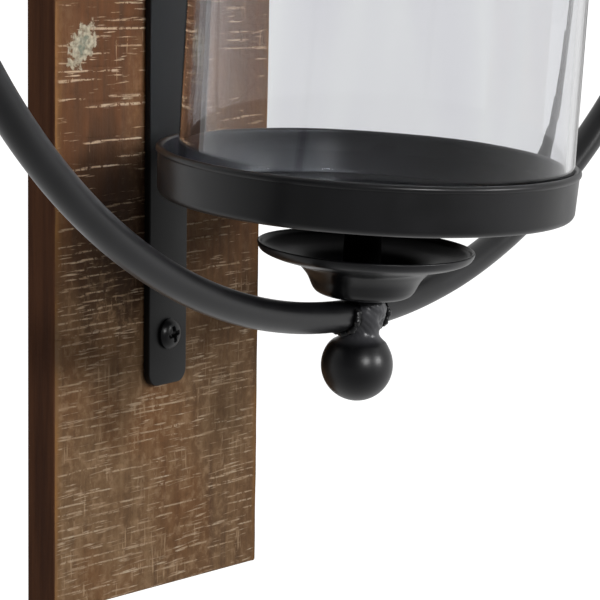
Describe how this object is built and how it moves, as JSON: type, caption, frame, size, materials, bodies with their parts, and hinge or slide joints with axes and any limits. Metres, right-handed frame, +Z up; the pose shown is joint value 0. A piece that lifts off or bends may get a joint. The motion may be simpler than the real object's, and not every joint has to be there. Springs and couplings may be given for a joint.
{
  "type": "wall sconce candle holder",
  "caption": "Wall candle sconce: wooden back board, flat iron bracket, round-rod hoop carrying a drip dish, a shallow tray and a glass chimney, with a ball finial below.",
  "frame": {"origin": "centre of the back board's back face", "axes": "+Z up, -Y out from the wall, X along the board's width"},
  "size_m": [0.4816, 0.1689, 0.6617],
  "materials": {
    "reclaimed_wood": "rough-sawn, stained brown, unsealed",
    "black_iron": "satin black powder coat",
    "black_screw": "blackened",
    "zinc_plate": "bright zinc plated",
    "clear_glass": "clear, smooth"
  },
  "bodies": {
    "sconce": {"back_board": "reclaimed_wood", "strap_bracket": "black_iron", "hoop": "black_iron", "finial_ball": "black_iron", "hoop_boss": "black_iron", "weld_bead_left": "black_iron", "weld_bead_right": "black_iron", "drip_dish": "black_iron", "tray_stem": "black_iron", "candle_tray": "black_iron", "tray_washer": "black_screw", "tray_screw": "black_screw", "arm_washer": "black_screw", "arm_bolt": "black_screw", "strap_screw_lower": "black_screw", "strap_screw_middle": "black_screw", "strap_screw_upper": "black_screw", "hanger_plate_upper": "zinc_plate", "hanger_screw_upper_left": "black_screw", "hanger_screw_upper_right": "black_screw", "hanger_plate_lower": "zinc_plate", "hanger_screw_lower_left": "black_screw", "hanger_screw_lower_right": "black_screw"},
    "chimney": {"glass_chimney": "clear_glass"}
  },
  "joints": [
    {"name": "chimney_lift", "type": "slide", "parent": "sconce", "child": "chimney", "axis": [0, -0.0593, 0.9982], "range_m": [0, 0.06]}
  ]
}
